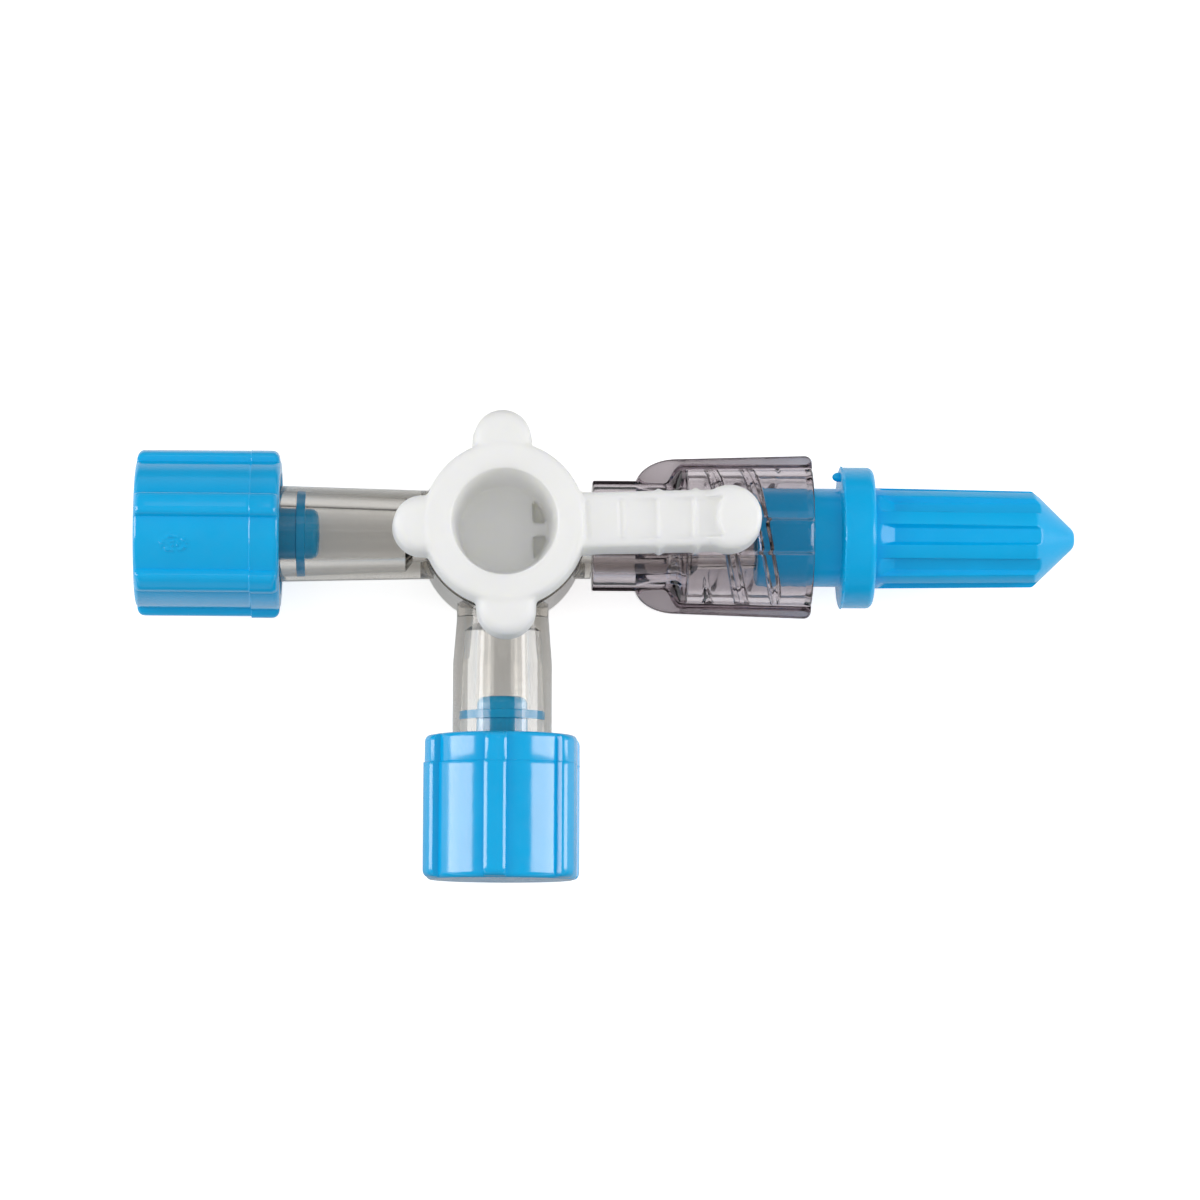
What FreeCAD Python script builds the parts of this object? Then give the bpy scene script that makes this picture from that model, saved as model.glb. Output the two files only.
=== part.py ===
import FreeCAD, Part
import math
import os

from FreeCAD import Vector

# Four-way stopcock with a luer-lock male end, two capped female side ports
# and a push-on guard cap. Millimetres, +Z up. The origin is the centre of the
# barrel's underside, on the axis of the tap. +X runs along the male arm.

# Outer sizes that the heights of the ports and of the handle follow
CAP_CREST_R = 5.74
WING_END_R = 5.63
TABLE_CLEARANCE = 0.26
HANDLE_SWEEP_CLEARANCE = 0.16
WIDEST_R = max(CAP_CREST_R, WING_END_R)
PORT_AXIS_Z = WIDEST_R + TABLE_CLEARANCE

# Plug, the barrel around it, the snap lip and the recess that takes the lip
PLUG_R = 4.20
PLUG_RUNNING_GAP = 0.04
BARREL_WALL = 1.46
BARREL_EDGE_ROUND = 0.25
BARREL_R = PLUG_R + PLUG_RUNNING_GAP + BARREL_WALL
HANDLE_GAP = 0.35
HANDLE_BASE_Z = PORT_AXIS_Z + WIDEST_R + HANDLE_SWEEP_CLEARANCE
BARREL_TOP_Z = HANDLE_BASE_Z - HANDLE_GAP
PLUG_BOTTOM_Z = 0.40
LIP_PROUD = 0.30
LIP_HEIGHT = 0.70
LIP_CLEARANCE = 0.30
LIP_END_PLAY = 0.06
LIP_R = PLUG_R + LIP_PROUD
LIP_TOP_Z = PLUG_BOTTOM_Z + LIP_HEIGHT
PLUG_WALL = 1.2
PASSAGE_WALL = 1.2

# Lumen of the three arms and of the plug's T passage
LUMEN_R = 1.2
ARM_ROOT_DEPTH = 1.20
ARM_ROOT_START = BARREL_R - ARM_ROOT_DEPTH

# Handle of the tap
HANDLE_HEIGHT = 3.5
HANDLE_TOP_Z = HANDLE_BASE_Z + HANDLE_HEIGHT
FOOT_EDGE_ROUND = 0.15
TAP_REST_TURN = 1.7
HUB_BASE_R = 5.63
HUB_TOP_R = 5.47
HUB_EDGE_ROUND = 0.45
WELL_TOP_R = 3.60
WELL_FLOOR_R = 3.06
WELL_DEPTH = 6.0
WELL_FLOOR_ROUND = 0.2
WELL_FLOOR_Z = HANDLE_TOP_Z - WELL_DEPTH
POCKET_WALL = 0.8
POCKET_EDGE = 0.11
POCKET_DEPTH = 1.0
POCKET_RIB_WIDTH = 0.85
LOBE_BASE_HALF = 2.06
LOBE_TOP_HALF = 1.92
LOBE_REACH = 7.62
CROSS_LOBE_REACH = 7.76
LOBE_DROP = 0.15
LOBE_EDGE_ROUND = 0.75
LEVER_BASE_HALF = 2.12
LEVER_TOP_HALF = 1.86
LEVER_DROP = 0.4
LEVER_EDGE_ROUND = 0.3
LEVER_TOP_Z = HANDLE_TOP_Z - LEVER_DROP
BULB_X = 15.2
BULB_BASE_R = 2.30
BULB_TOP_R = 2.15
BULB_EDGE_ROUND = 0.5

# Thumb panel on the lever, measured back from the middle of its bulb
THUMB_HALF = 1.36
THUMB_FRONT = (9.90, 9.45, 0.08)
THUMB_SLOT = (7.58, 7.06, 0.16)
THUMB_STEPS = ((7.05, 4.75, 0.30), (4.70, 2.35, 0.30))
THUMB_REST = (2.30, 0.30, 0.18)
THUMB_STEP_FACE = 0.15
THUMB_REST_ROUND_SHIFT = 1.35
SIDE_BEAD_BACK = (4.75, 2.25)
SIDE_BEAD_R = 0.17
SIDE_BEAD_DROP = 0.25

# Female luer arms: distance from the tap axis to the open rim of each cap
INLET_RIM = 15.32
SIDE_RIM = 13.84
CAP_OVERLAP = 8.38
MOUTH_BORE_R = 2.14
LUER_SLOPE = 0.03
MOUTH_OUTER_R = 3.365
MOUTH_ROUND = 0.15
MOUTH_TAPER_LENGTH = 1.5
INLET_ROOT_R = 3.07
INLET_RIM_R = 3.31
SIDE_ROOT_R = 3.16
SIDE_BULGE_R = 3.42
SIDE_BULGE_LENGTH = 3.20
SIDE_BULGE_ROUND = 4.0
LUER_END_PAST_BARREL = 1.05
LUER_END = BARREL_R + LUER_END_PAST_BARREL
BORE_STEP = 0.5
LUG_PROUD = 0.55
LUG_LENGTH = 1.2
LUG_WIDTH = 3.2
LUG_R = MOUTH_OUTER_R + LUG_PROUD

# Luer-lock caps of the two female arms
CAP_THREAD_CLEARANCE = 0.145
CAP_END_CLEARANCE = 0.35
CAP_END_WALL = 1.2
CAP_VALLEY_R = 5.17
CAP_RIB_COUNT = 6
CAP_RIB_CREST_WIDTH = 1.25
CAP_RIB_BASE_WIDTH = 1.9
CAP_RIB_ROUND = 0.35
CAP_EDGE_ROUND = 0.4
CAP_RIB_END_ROUND = 0.5
CAP_RIB_END_MARGIN = 0.12
CAP_STUB_PAST_RIM = 2.63
CAP_STUB_GAP = 0.09
CAP_STUB_TIP_ROUND = 0.4
CAP_SEAL_GAP = 0.03
CAP_SEAL_PAST_RIM = (1.06, 1.68)
CAP_STUB_CORE_R = 0.8
CAP_STUB_CORE_DEPTH = 8.0
INLET_CAP_TURN = 16.0
SIDE_CAP_TURN = 95.6
CAP_INNER_R = LUG_R + CAP_THREAD_CLEARANCE

# Male luer arm and the journal that the lock collar spins on
MALE_ROOT_R = 2.97
MALE_ROOT_LENGTH = 0.33
JOURNAL_R = 2.53
COLLAR_RUNNING_GAP = 0.07
COLLAR_START_PLAY = 0.10
COLLAR_RIDGE_PLAY = 0.06
RIDGE_PROUD = 0.25
RIDGE_FLAT = 0.34
RIDGE_RAMP = 0.50
MALE_TIP_PROUD = 2.10
MALE_TIP_R = 1.98
MALE_TIP_ROUND = 0.1
MALE_SHOULDER = BARREL_R + MALE_ROOT_LENGTH

# Lock collar
COLLAR_LENGTH = 15.1
COLLAR_REAR_LENGTH = 6.4
COLLAR_START = MALE_SHOULDER + COLLAR_START_PLAY
COLLAR_FLOOR = COLLAR_START + COLLAR_REAR_LENGTH
COLLAR_END = COLLAR_START + COLLAR_LENGTH
SLEEVE_WALL = 1.19
SLEEVE_R = JOURNAL_R + COLLAR_RUNNING_GAP + SLEEVE_WALL
SHOULDER_LENGTH = 1.1
THREAD_ROOT_R = 4.02
CAVITY_FLOOR_ROUND = 0.2
THREAD_CREST_R = 3.50
THREAD_ENTRY_STEP = 0.18
THREAD_ENTRY_LENGTH = 0.5
SHELL_WALL = 0.76
SHELL_FLARE = 0.17
SHELL_R = THREAD_ROOT_R + SHELL_WALL
SHELL_ROUND = 0.5
COLLAR_EDGE_ROUND = 0.12
WING_COUNT = 4
WING_WIDTH = 2.4
WING_REAR_MARGIN = 2.97
WING_RISE_LENGTH = 2.9
WING_FLARE = 0.29
WING_ROOT_DEPTH = 0.3
WING_CORNER_ROUND = 0.5
WING_CREST_R = WING_END_R - WING_FLARE
COLLAR_REST_TURN = 5.0
RIDGE_START = COLLAR_FLOOR + COLLAR_RIDGE_PLAY
RIDGE_R = JOURNAL_R + RIDGE_PROUD
MALE_TIP = COLLAR_END + MALE_TIP_PROUD

# Guard cap over the male luer
GUARD_SEAT_LENGTH = 5.9
GUARD_FIT_GAP = 0.05
GUARD_THREAD_CLEARANCE = 0.10
GUARD_ENTRY_STEP = 0.15
GUARD_ENTRY_LENGTH = 0.4
GUARD_TIP_CLEARANCE = 0.7
GUARD_CORE_R = 1.5
GUARD_CORE_LENGTH = 10.0
GUARD_CORE_CONE = 1.0
GUARD_MOUTH_ROUND = 0.25
GUARD_SLEEVE_R = THREAD_CREST_R - GUARD_THREAD_CLEARANCE
GUARD_START = MALE_TIP - GUARD_SEAT_LENGTH
FLANGE_GAP = 1.97
FLANGE_THICKNESS = 2.30
FLANGE_R = 4.87
FLANGE_REAR_ROUND = 0.2
FLANGE_FRONT_ROUND = 0.45
FLANGE_START = COLLAR_END + FLANGE_GAP
FLANGE_END = FLANGE_START + FLANGE_THICKNESS
GRIP_ROOT_R = 3.49
GRIP_END_R = 3.34
GRIP_LENGTH = 11.1
GRIP_END_ROUND = 0.4
GRIP_END = FLANGE_END + GRIP_LENGTH
GUARD_CONE_LENGTH = 2.9
GUARD_TIP = GRIP_END + GUARD_CONE_LENGTH
GUARD_TIP_R = 0.55
GUARD_TIP_ROUND = 0.3
FLUTE_COUNT = 9
FLUTE_DEPTH = 0.49
FLUTE_FLOOR_WIDTH = 0.88
FLUTE_REST_TURN = 1.4
FLUTE_TOP_WIDTH = 1.75
FLUTE_RUN_OUT_MARGIN = 0.15
FLUTE_RUN_OUT_LENGTH = 1.25

# How far a cutting shape reaches past the face that it opens
CUT_PAST = 1.0


def rounded_wire(corners):
    """Closed wire in the XZ plane. A third number in a corner is its rounding radius."""
    count = len(corners)
    joints = []
    for i in range(count):
        corner = Vector(corners[i][0], 0, corners[i][1])
        if len(corners[i]) < 3:
            joints.append((corner, None, corner))
            continue
        radius = corners[i][2]
        before = corners[i - 1]
        after = corners[(i + 1) % count]
        to_before = (Vector(before[0], 0, before[1]) - corner).normalize()
        to_after = (Vector(after[0], 0, after[1]) - corner).normalize()
        half_angle = to_before.getAngle(to_after) / 2
        reach = radius / math.tan(half_angle)
        bisector = (to_before + to_after).normalize()
        centre = corner + bisector * (radius / math.sin(half_angle))
        middle = centre - bisector * radius
        joints.append((corner + to_before * reach, middle, corner + to_after * reach))
    edges = []
    for i in range(count):
        start, middle, end = joints[i]
        if middle is not None:
            edges.append(Part.Arc(start, middle, end).toShape())
        next_start = joints[(i + 1) % count][0]
        if (next_start - end).Length > 1e-6:
            edges.append(Part.makeLine(end, next_start))
    return Part.Wire(edges)


def lathe(corners):
    """Solid of revolution about Z from corners given as (radius, z)."""
    return Part.Face(rounded_wire(corners)).revolve(Vector(0, 0, 0), Vector(0, 0, 1), 360)


def cylinder(radius, z0, z1):
    """Cylinder on the Z axis between two heights."""
    return Part.makeCylinder(radius, z1 - z0, Vector(0, 0, z0))


def block(x0, x1, y0, y1, z0, z1):
    """Box between two corners."""
    return Part.makeBox(x1 - x0, y1 - y0, z1 - z0, Vector(x0, y0, z0))


def on_arm(shape, direction):
    """Stand a shape, modelled along +Z from the tap axis, on the port axis."""
    placed = shape.copy()
    axis, angle = {
        "+X": (Vector(0, 1, 0), 90),
        "-X": (Vector(0, 1, 0), -90),
        "-Y": (Vector(1, 0, 0), 90),
    }[direction]
    placed.rotate(Vector(0, 0, 0), axis, angle)
    placed.translate(Vector(0, 0, PORT_AXIS_Z))
    return placed


def turned(shape, degrees):
    """Copy of a shape turned about Z."""
    copy = shape.copy()
    copy.rotate(Vector(0, 0, 0), Vector(0, 0, 1), degrees)
    return copy


def bar(half_profile, start, end):
    """Bar along +X with a round end, from the right half of its cross-section."""
    mirrored = [(-corner[0],) + tuple(corner[1:]) for corner in reversed(half_profile[1:-1])]
    section = rounded_wire(list(half_profile[1:-1]) + mirrored)
    straight = Part.Face(section)
    straight.rotate(Vector(0, 0, 0), Vector(0, 0, 1), 90)
    straight.translate(Vector(start, 0, 0))
    straight = straight.extrude(Vector(end - start, 0, 0))
    nose = lathe(half_profile)
    nose.translate(Vector(end, 0, 0))
    return straight.fuse(nose)


def luer_r(depth):
    """Radius of a female arm's tapered bore at a depth from its mouth."""
    return MOUTH_BORE_R - LUER_SLOPE * depth


def male_luer_r(x):
    """Radius of the male luer at a distance from the tap axis."""
    return MALE_TIP_R + LUER_SLOPE * (MALE_TIP - x)


def female_arm(rim, corners):
    """Outer form of a female luer arm with its two lock lugs."""
    mouth = rim + CAP_OVERLAP
    outline = [(0, ARM_ROOT_START)] + corners
    outline += [(MOUTH_OUTER_R, rim + MOUTH_TAPER_LENGTH), (MOUTH_OUTER_R, mouth, MOUTH_ROUND), (0, mouth)]
    arm = lathe(outline)
    lug_disc = cylinder(LUG_R, mouth - LUG_LENGTH, mouth)
    lugs = lug_disc.common(block(-LUG_R, LUG_R, -LUG_WIDTH / 2, LUG_WIDTH / 2, 0, mouth))
    return arm.fuse(lugs)


def female_bore(rim):
    """Luer taper and lumen of a female arm."""
    mouth = rim + CAP_OVERLAP
    return lathe([
        (0, 0),
        (LUMEN_R, 0),
        (LUMEN_R, LUER_END - BORE_STEP),
        (luer_r(mouth - LUER_END), LUER_END),
        (luer_r(-CUT_PAST), mouth + CUT_PAST),
        (0, mouth + CUT_PAST),
    ])


def make_body():
    """Barrel and three arms, one clear moulding."""
    barrel = lathe([
        (0, 0),
        (BARREL_R, 0, BARREL_EDGE_ROUND),
        (BARREL_R, BARREL_TOP_Z, BARREL_EDGE_ROUND),
        (0, BARREL_TOP_Z),
    ])
    inlet = female_arm(INLET_RIM, [
        (INLET_ROOT_R, ARM_ROOT_START),
        (INLET_ROOT_R, BARREL_R),
        (INLET_RIM_R, INLET_RIM),
    ])
    side = female_arm(SIDE_RIM, [
        (SIDE_ROOT_R, ARM_ROOT_START),
        (SIDE_ROOT_R, BARREL_R),
        (SIDE_BULGE_R, BARREL_R + SIDE_BULGE_LENGTH, SIDE_BULGE_ROUND),
        (SIDE_BULGE_R, SIDE_RIM),
    ])
    ridge_end = RIDGE_START + RIDGE_FLAT + RIDGE_RAMP
    male = lathe([
        (0, ARM_ROOT_START),
        (MALE_ROOT_R, ARM_ROOT_START),
        (MALE_ROOT_R, MALE_SHOULDER),
        (JOURNAL_R, MALE_SHOULDER),
        (JOURNAL_R, RIDGE_START),
        (RIDGE_R, RIDGE_START),
        (RIDGE_R, RIDGE_START + RIDGE_FLAT),
        (male_luer_r(ridge_end), ridge_end),
        (MALE_TIP_R, MALE_TIP, MALE_TIP_ROUND),
        (0, MALE_TIP),
    ])
    body = barrel.fuse([on_arm(inlet, "-X"), on_arm(side, "-Y"), on_arm(male, "+X")])
    cuts = [
        cylinder(PLUG_R + PLUG_RUNNING_GAP, 0, BARREL_TOP_Z),
        cylinder(LIP_R + LIP_CLEARANCE, 0, LIP_TOP_Z + LIP_END_PLAY),
        on_arm(female_bore(INLET_RIM), "-X"),
        on_arm(female_bore(SIDE_RIM), "-Y"),
        on_arm(cylinder(LUMEN_R, 0, MALE_TIP), "+X"),
    ]
    return body.cut(cuts)


def make_tap():
    """Handle and plug with its T passage, one moulding."""
    hub = lathe([
        (0, HANDLE_BASE_Z),
        (HUB_BASE_R, HANDLE_BASE_Z, FOOT_EDGE_ROUND),
        (HUB_TOP_R, HANDLE_TOP_Z, HUB_EDGE_ROUND),
        (0, HANDLE_TOP_Z),
    ])
    plug = cylinder(PLUG_R, PLUG_BOTTOM_Z, HANDLE_BASE_Z)
    lip = lathe([
        (0, PLUG_BOTTOM_Z),
        (PLUG_R, PLUG_BOTTOM_Z),
        (LIP_R, LIP_TOP_Z - LIP_PROUD),
        (LIP_R, LIP_TOP_Z),
        (0, LIP_TOP_Z),
    ])
    lobe_top = HANDLE_TOP_Z - LOBE_DROP
    lobes = []
    for angle, reach in ((90, CROSS_LOBE_REACH), (180, LOBE_REACH), (270, CROSS_LOBE_REACH)):
        lobe = bar([
            (0, HANDLE_BASE_Z),
            (LOBE_BASE_HALF, HANDLE_BASE_Z, FOOT_EDGE_ROUND),
            (LOBE_TOP_HALF, lobe_top, LOBE_EDGE_ROUND),
            (0, lobe_top),
        ], PLUG_R, reach - LOBE_BASE_HALF)
        lobes.append(turned(lobe, angle))
    lever = bar([
        (0, HANDLE_BASE_Z),
        (LEVER_BASE_HALF, HANDLE_BASE_Z, FOOT_EDGE_ROUND),
        (LEVER_TOP_HALF, LEVER_TOP_Z, LEVER_EDGE_ROUND),
        (0, LEVER_TOP_Z),
    ], PLUG_R, BULB_X - BULB_TOP_R / 2)
    bulb = lathe([
        (0, HANDLE_BASE_Z),
        (BULB_BASE_R, HANDLE_BASE_Z, FOOT_EDGE_ROUND),
        (BULB_TOP_R, HANDLE_TOP_Z, BULB_EDGE_ROUND),
        (0, HANDLE_TOP_Z),
    ])
    bulb.translate(Vector(BULB_X, 0, 0))
    thumb_cuts = []
    for back_start, back_end, depth in THUMB_STEPS:
        start = BULB_X - back_start
        end = BULB_X - back_end
        slope = Part.Face(Part.makePolygon([
            Vector(start, -THUMB_HALF, LEVER_TOP_Z),
            Vector(end - THUMB_STEP_FACE, -THUMB_HALF, LEVER_TOP_Z - depth),
            Vector(end, -THUMB_HALF, LEVER_TOP_Z),
            Vector(start, -THUMB_HALF, LEVER_TOP_Z),
        ]))
        thumb_cuts.append(slope.extrude(Vector(0, 2 * THUMB_HALF, 0)))
    for back_start, back_end, depth in (THUMB_SLOT, THUMB_FRONT):
        thumb_cuts.append(block(
            BULB_X - back_start, BULB_X - back_end, -THUMB_HALF, THUMB_HALF,
            LEVER_TOP_Z - depth, HANDLE_TOP_Z))
    rest_start, rest_end, rest_depth = THUMB_REST
    thumb_rest = block(
        BULB_X - rest_start, BULB_X - rest_end, -THUMB_HALF, THUMB_HALF,
        LEVER_TOP_Z - rest_depth, HANDLE_TOP_Z)
    thumb_rest = thumb_rest.cut(Part.makeCylinder(
        BULB_TOP_R, HANDLE_TOP_Z, Vector(BULB_X + THUMB_REST_ROUND_SHIFT, 0, 0)))
    beads = []
    lean = (LEVER_BASE_HALF - LEVER_TOP_HALF) / (LEVER_TOP_Z - HANDLE_BASE_Z)
    for back in SIDE_BEAD_BACK:
        for side in (-1, 1):
            foot = Vector(BULB_X - back, side * LEVER_BASE_HALF, HANDLE_BASE_Z)
            rise = Vector(0, -side * lean, 1).normalize()
            height = LEVER_TOP_Z - HANDLE_BASE_Z - SIDE_BEAD_DROP
            beads.append(Part.makeCylinder(SIDE_BEAD_R, height, foot, rise))
    handle = hub.fuse(lobes)
    handle = handle.fuse(lever).cut(thumb_cuts).fuse([bulb] + beads).cut(thumb_rest)
    tap = handle.fuse([plug, lip])
    well = lathe([
        (0, WELL_FLOOR_Z),
        (WELL_FLOOR_R, WELL_FLOOR_Z, WELL_FLOOR_ROUND),
        (WELL_TOP_R, HANDLE_TOP_Z),
        (WELL_TOP_R, HANDLE_TOP_Z + CUT_PAST),
        (0, HANDLE_TOP_Z + CUT_PAST),
    ])
    pocket_r = WELL_FLOOR_R - POCKET_EDGE
    pocket_start = LUMEN_R + POCKET_WALL
    pocket_floor = WELL_FLOOR_Z - POCKET_DEPTH
    pocket_round = cylinder(pocket_r, pocket_floor, WELL_FLOOR_Z + CUT_PAST)
    pockets = []
    for side in (-1, 1):
        low, high = sorted((side * POCKET_RIB_WIDTH / 2, side * pocket_r))
        pockets.append(pocket_round.common(
            block(pocket_start, pocket_r, low, high, pocket_floor, WELL_FLOOR_Z + CUT_PAST)))
    across = Part.makeCylinder(
        LUMEN_R, 2 * (PLUG_R + CUT_PAST), Vector(0, -PLUG_R - CUT_PAST, PORT_AXIS_Z), Vector(0, 1, 0))
    branch = Part.makeCylinder(
        LUMEN_R, PLUG_R + CUT_PAST, Vector(0, 0, PORT_AXIS_Z), Vector(-1, 0, 0))
    under = cylinder(PLUG_R - PLUG_WALL, PLUG_BOTTOM_Z, PORT_AXIS_Z - LUMEN_R - PASSAGE_WALL)
    tap = tap.cut([well, across, branch, under] + pockets)
    return turned(tap, TAP_REST_TURN)


def wing_profile():
    """Side outline of one wing, with its round rear shoulder and round front corner."""
    root = SLEEVE_R - WING_ROOT_DEPTH
    start = COLLAR_START + WING_REAR_MARGIN
    rise = []
    for step in range(9):
        angle = math.radians(90 * step / 8)
        rise.append(Vector(
            root + (WING_CREST_R - root) * math.sin(angle), 0,
            start + WING_RISE_LENGTH * (1 - math.cos(angle))))
    shoulder = Part.BSplineCurve()
    shoulder.interpolate(rise)
    front = Vector(WING_END_R, 0, COLLAR_END - WING_CORNER_ROUND)
    short = WING_CORNER_ROUND * (1 - math.sqrt(0.5))
    front_mid = Vector(WING_END_R - short, 0, COLLAR_END - short)
    front_end = Vector(WING_END_R - WING_CORNER_ROUND, 0, COLLAR_END)
    inner_end = Vector(SLEEVE_R, 0, COLLAR_END)
    inner_start = Vector(root, 0, start + WING_RISE_LENGTH / 2)
    return Part.Wire([
        shoulder.toShape(),
        Part.makeLine(rise[-1], front),
        Part.Arc(front, front_mid, front_end).toShape(),
        Part.makeLine(front_end, inner_end),
        Part.makeLine(inner_end, inner_start),
        Part.makeLine(inner_start, rise[0]),
    ])


def make_collar():
    """Swivel lock collar with its wings. Its fine thread is left plain here."""
    shell = lathe([
        (0, COLLAR_START),
        (SLEEVE_R, COLLAR_START, COLLAR_EDGE_ROUND),
        (SLEEVE_R, COLLAR_FLOOR - SHOULDER_LENGTH - WING_ROOT_DEPTH),
        (SHELL_R, COLLAR_FLOOR - WING_ROOT_DEPTH, SHELL_ROUND),
        (SHELL_R + SHELL_FLARE, COLLAR_END, COLLAR_EDGE_ROUND),
        (0, COLLAR_END),
    ])
    wing = Part.Face(wing_profile())
    wing.translate(Vector(0, -WING_WIDTH / 2, 0))
    wing = wing.extrude(Vector(0, WING_WIDTH, 0))
    wings = [turned(wing, COLLAR_REST_TURN + 360 / WING_COUNT * i) for i in range(WING_COUNT)]
    bore = cylinder(JOURNAL_R + COLLAR_RUNNING_GAP, COLLAR_START, COLLAR_FLOOR)
    cavity = lathe([
        (0, COLLAR_FLOOR),
        (THREAD_ROOT_R, COLLAR_FLOOR, CAVITY_FLOOR_ROUND),
        (THREAD_ROOT_R, COLLAR_END - THREAD_ENTRY_LENGTH),
        (THREAD_ROOT_R + THREAD_ENTRY_STEP, COLLAR_END),
        (0, COLLAR_END),
    ])
    return on_arm(shell.fuse(wings).cut([bore, cavity]), "+X")


def make_guard():
    """Push-on guard cap: sleeve, finger flange, fluted grip and conical tip."""
    outer = lathe([
        (0, GUARD_START),
        (GUARD_SLEEVE_R, GUARD_START, GUARD_MOUTH_ROUND),
        (GUARD_SLEEVE_R, FLANGE_START),
        (FLANGE_R, FLANGE_START, FLANGE_REAR_ROUND),
        (FLANGE_R, FLANGE_END, FLANGE_FRONT_ROUND),
        (GRIP_ROOT_R, FLANGE_END),
        (GRIP_END_R, GRIP_END, GRIP_END_ROUND),
        (GUARD_TIP_R, GUARD_TIP, GUARD_TIP_ROUND),
        (0, GUARD_TIP),
    ])
    reach = FLUTE_DEPTH + CUT_PAST
    growth = reach / FLUTE_DEPTH
    floor_r = GRIP_ROOT_R - FLUTE_DEPTH
    half_floor = FLUTE_FLOOR_WIDTH / 2
    half_top = half_floor + growth * (FLUTE_TOP_WIDTH - FLUTE_FLOOR_WIDTH) / 2
    floor_start = FLANGE_END + FLUTE_RUN_OUT_MARGIN + FLUTE_RUN_OUT_LENGTH
    far_end = GUARD_TIP + CUT_PAST
    groove = Part.makeWedge(
        -half_floor, floor_r, floor_start, floor_start - growth * FLUTE_RUN_OUT_LENGTH, -half_top,
        half_floor, floor_r + reach, far_end, far_end, half_top)
    groove = groove.common(cylinder(floor_r + reach, FLANGE_END, far_end))
    flutes = [turned(groove, 90 + FLUTE_REST_TURN + 360 / FLUTE_COUNT * i) for i in range(FLUTE_COUNT)]
    entry_end = GUARD_START + GUARD_ENTRY_LENGTH
    seat_end = MALE_TIP + GUARD_TIP_CLEARANCE
    hollow = lathe([
        (0, GUARD_START),
        (male_luer_r(GUARD_START) + GUARD_FIT_GAP + GUARD_ENTRY_STEP, GUARD_START),
        (male_luer_r(entry_end) + GUARD_FIT_GAP, entry_end),
        (MALE_TIP_R + GUARD_FIT_GAP, MALE_TIP),
        (MALE_TIP_R + GUARD_FIT_GAP, seat_end),
        (GUARD_CORE_R, seat_end),
        (GUARD_CORE_R, seat_end + GUARD_CORE_LENGTH),
        (0, seat_end + GUARD_CORE_LENGTH + GUARD_CORE_CONE),
    ])
    return on_arm(outer.cut(flutes + [hollow]), "+X")


def rib_flank():
    """Points along one side of a rib on +X: crest, crest rounding, flank, root rounding, valley."""
    crest = Vector(CAP_CREST_R, CAP_RIB_CREST_WIDTH / 2, 0)
    root = Vector(CAP_VALLEY_R, CAP_RIB_BASE_WIDTH / 2, 0)
    down = (root - crest).normalize()
    out = Vector(-down.y, down.x, 0)
    if out.y < 0:
        out = out * -1
    along_crest = Vector(0, -1, 0)
    half_angle = along_crest.getAngle(down) / 2
    reach = CAP_RIB_ROUND / math.tan(half_angle)
    inward = (along_crest + down).normalize()
    crest_centre = crest + inward * (CAP_RIB_ROUND / math.sin(half_angle))
    crest_mid = crest_centre - inward * CAP_RIB_ROUND
    # The root rounding touches the flank and the valley circle
    far = CAP_VALLEY_R + CAP_RIB_ROUND
    base = crest + out * CAP_RIB_ROUND
    middle = base.dot(down)
    travel = -middle - math.sqrt(middle * middle - base.dot(base) + far * far)
    if travel < 0:
        travel = -middle + math.sqrt(middle * middle - base.dot(base) + far * far)
    root_centre = base + down * travel
    flank_end = root_centre - out * CAP_RIB_ROUND
    valley = root_centre * (CAP_VALLEY_R / far)
    toward = ((flank_end - root_centre).normalize() + (valley - root_centre).normalize()).normalize()
    root_mid = root_centre + toward * CAP_RIB_ROUND
    return [crest + along_crest * reach, crest_mid, crest + down * reach, flank_end, root_mid, valley]


def make_skirt(start, end):
    """Round skirt with its grip ribs, rounded where the ribs meet it."""
    flank = rib_flank()
    mirrored = [Vector(point.x, -point.y, 0) for point in flank]
    pitch = 360 / CAP_RIB_COUNT

    def at(point, degrees):
        angle = math.radians(degrees)
        return Vector(
            point.x * math.cos(angle) - point.y * math.sin(angle),
            point.x * math.sin(angle) + point.y * math.cos(angle), start)

    edges = []
    for rib in range(CAP_RIB_COUNT):
        low = [at(point, rib * pitch) for point in mirrored]
        high = [at(point, rib * pitch) for point in flank]
        next_low = at(mirrored[5], (rib + 1) * pitch)
        valley_mid = at(Vector(CAP_VALLEY_R, 0, 0), (rib + 0.5) * pitch)
        edges += [
            Part.Arc(low[5], low[4], low[3]).toShape(),
            Part.makeLine(low[3], low[2]),
            Part.Arc(low[2], low[1], low[0]).toShape(),
            Part.makeLine(low[0], high[0]),
            Part.Arc(high[0], high[1], high[2]).toShape(),
            Part.makeLine(high[2], high[3]),
            Part.Arc(high[3], high[4], high[5]).toShape(),
            Part.Arc(high[5], valley_mid, next_low).toShape(),
        ]
    return Part.Face(Part.Wire(edges)).extrude(Vector(0, 0, end - start))


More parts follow.
